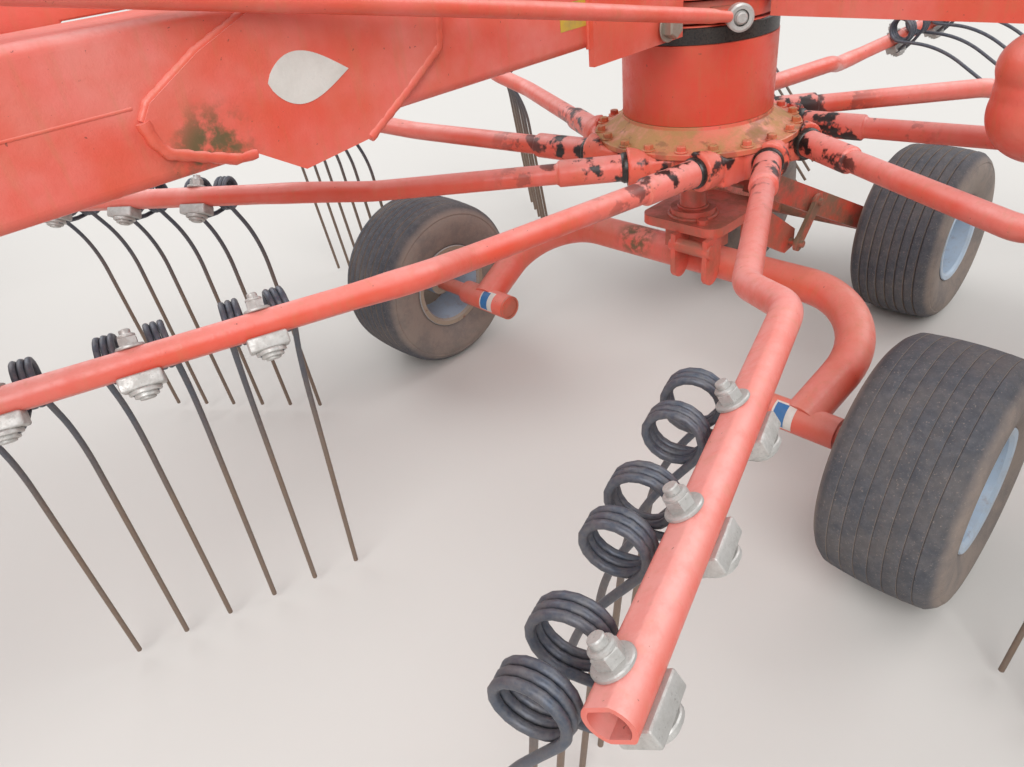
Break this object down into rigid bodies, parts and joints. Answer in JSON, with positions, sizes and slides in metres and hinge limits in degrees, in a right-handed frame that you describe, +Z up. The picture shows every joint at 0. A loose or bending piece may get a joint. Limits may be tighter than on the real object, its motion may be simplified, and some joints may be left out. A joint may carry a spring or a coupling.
{
  "type": "twin rotor hay rake",
  "caption": "Trailed side-delivery hay rake: cranked tine arms on two rotors, each over a wheeled bogie, with an articulated boom, steering tie rod and swath curtain.",
  "frame": {"origin": "middle of the machine's box, on the floor", "axes": "+X is the direction of travel, +Y is left, +Z is up"},
  "size_m": [6.6886, 5.9211, 1.4],
  "materials": {
    "red_paint": "faded gloss enamel, scuffed and dusty",
    "deep_red_paint": "faded enamel",
    "dusty_paint": "red enamel under dried ochre dust",
    "cast": "pale cast grey",
    "bare_steel": "bare and plated steel",
    "spring_steel": "blue-grey, rusting towards the tips",
    "rim_silver": "silver enamel",
    "tyre": "worn, dusty",
    "guard": "black guard plastic",
    "cloth": "coated cloth"
  },
  "bodies": {
    "frame": {"cross_beam": "red_paint", "drawbar": "red_paint", "front_head": "red_paint", "centre_gearbox": "red_paint", "drive_line": "guard", "steering_bracket": "red_paint", "stand_sleeve": "deep_red_paint", "front_bogie": "red_paint", "front_axle": "red_paint", "front_tail": "dusty_paint"},
    "headstock": {"headstock": "red_paint"},
    "stand": {"stand_leg": "bare_steel"},
    "boom": {"boom": "red_paint", "shaft_cover": "red_paint", "boom_shaft": "guard", "rear_head": "red_paint", "curtain_beam": "red_paint"},
    "tie_rod": {"tie_rod": "red_paint"},
    "rear_bogie": {"rear_bogie": "red_paint", "rear_axle": "red_paint", "rear_tail": "dusty_paint"},
    "curtain": {"curtain_arm": "bare_steel", "curtain": "cloth"},
    "front_rotor": {"front_hub": "deep_red_paint", "front_carriers": "red_paint", "front_arms": "red_paint", "front_tines": "spring_steel"},
    "front_wheel_front_left": {"front_tyre_front_left": "tyre", "front_rim_front_left": "rim_silver"},
    "front_wheel_front_right": {"front_tyre_front_right": "tyre", "front_rim_front_right": "rim_silver"},
    "front_wheel_rear_left": {"front_tyre_rear_left": "tyre", "front_rim_rear_left": "rim_silver"},
    "front_wheel_rear_right": {"front_tyre_rear_right": "tyre", "front_rim_rear_right": "rim_silver"},
    "rear_rotor": {"rear_hub": "deep_red_paint", "rear_carriers": "red_paint", "rear_arms": "red_paint", "rear_tines": "spring_steel"},
    "rear_wheel_front_left": {"rear_tyre_front_left": "tyre", "rear_rim_front_left": "rim_silver"},
    "rear_wheel_front_right": {"rear_tyre_front_right": "tyre", "rear_rim_front_right": "rim_silver"},
    "rear_wheel_rear_left": {"rear_tyre_rear_left": "tyre", "rear_rim_rear_left": "rim_silver"},
    "rear_wheel_rear_right": {"rear_tyre_rear_right": "tyre", "rear_rim_rear_right": "rim_silver"}
  },
  "joints": [
    {"name": "hitch_yaw", "type": "hinge", "parent": "frame", "child": "headstock", "pos_m": [3.104, -0.1635, 0.7], "axis": [0, 0, 1], "range_deg": [-50, 50]},
    {"name": "boom_swing", "type": "hinge", "parent": "frame", "child": "boom", "pos_m": [0.704, 1.1865, 0.99], "axis": [0, 0, 1], "range_deg": [-10, 10]},
    {"name": "rear_steer", "type": "hinge", "parent": "boom", "child": "rear_bogie", "pos_m": [-1.896, 1.1865, 0.7], "axis": [0, 0, 1], "range_deg": [-8, 8]},
    {"name": "tie_rod_swing", "type": "hinge", "parent": "frame", "child": "tie_rod", "pos_m": [0.704, 1.0885, 1.37], "axis": [0, 0, 1], "range_deg": [-13, 13]},
    {"name": "curtain_slide", "type": "slide", "parent": "boom", "child": "curtain", "axis": [0, 1, 0], "range_m": [-0.2, 0.35]},
    {"name": "stand_slide", "type": "slide", "parent": "frame", "child": "stand", "axis": [0, 0, 1], "range_m": [0, 0.35]},
    {"name": "front_rotor_spin", "type": "hinge", "parent": "frame", "child": "front_rotor", "pos_m": [0.824, -1.5135, 0.7], "axis": [0, 0, 1], "continuous": true},
    {"name": "front_wheel_front_left_spin", "type": "hinge", "parent": "frame", "child": "front_wheel_front_left", "pos_m": [1.111, -0.8335, 0.2285], "axis": [0, 1, 0], "continuous": true},
    {"name": "front_wheel_front_right_spin", "type": "hinge", "parent": "frame", "child": "front_wheel_front_right", "pos_m": [1.111, -2.1935, 0.2285], "axis": [0, 1, 0], "continuous": true},
    {"name": "front_wheel_rear_left_spin", "type": "hinge", "parent": "frame", "child": "front_wheel_rear_left", "pos_m": [0.136, -1.2215, 0.2285], "axis": [0, 1, 0], "continuous": true},
    {"name": "front_wheel_rear_right_spin", "type": "hinge", "parent": "frame", "child": "front_wheel_rear_right", "pos_m": [0.136, -1.8055, 0.2285], "axis": [0, 1, 0], "continuous": true},
    {"name": "rear_rotor_spin", "type": "hinge", "parent": "boom", "child": "rear_rotor", "pos_m": [-1.896, 1.1865, 0.7], "axis": [0, 0, 1], "continuous": true},
    {"name": "rear_wheel_front_left_spin", "type": "hinge", "parent": "rear_bogie", "child": "rear_wheel_front_left", "pos_m": [-1.609, 1.8665, 0.2285], "axis": [0, 1, 0], "continuous": true},
    {"name": "rear_wheel_front_right_spin", "type": "hinge", "parent": "rear_bogie", "child": "rear_wheel_front_right", "pos_m": [-1.609, 0.5065, 0.2285], "axis": [0, 1, 0], "continuous": true},
    {"name": "rear_wheel_rear_left_spin", "type": "hinge", "parent": "rear_bogie", "child": "rear_wheel_rear_left", "pos_m": [-2.584, 1.4785, 0.2285], "axis": [0, 1, 0], "continuous": true},
    {"name": "rear_wheel_rear_right_spin", "type": "hinge", "parent": "rear_bogie", "child": "rear_wheel_rear_right", "pos_m": [-2.584, 0.8945, 0.2285], "axis": [0, 1, 0], "continuous": true}
  ],
  "couplings": [
    {"joint": "rear_steer", "follows": "boom_swing", "ratio": 0.488},
    {"joint": "tie_rod_swing", "follows": "boom_swing", "ratio": 0.97}
  ]
}
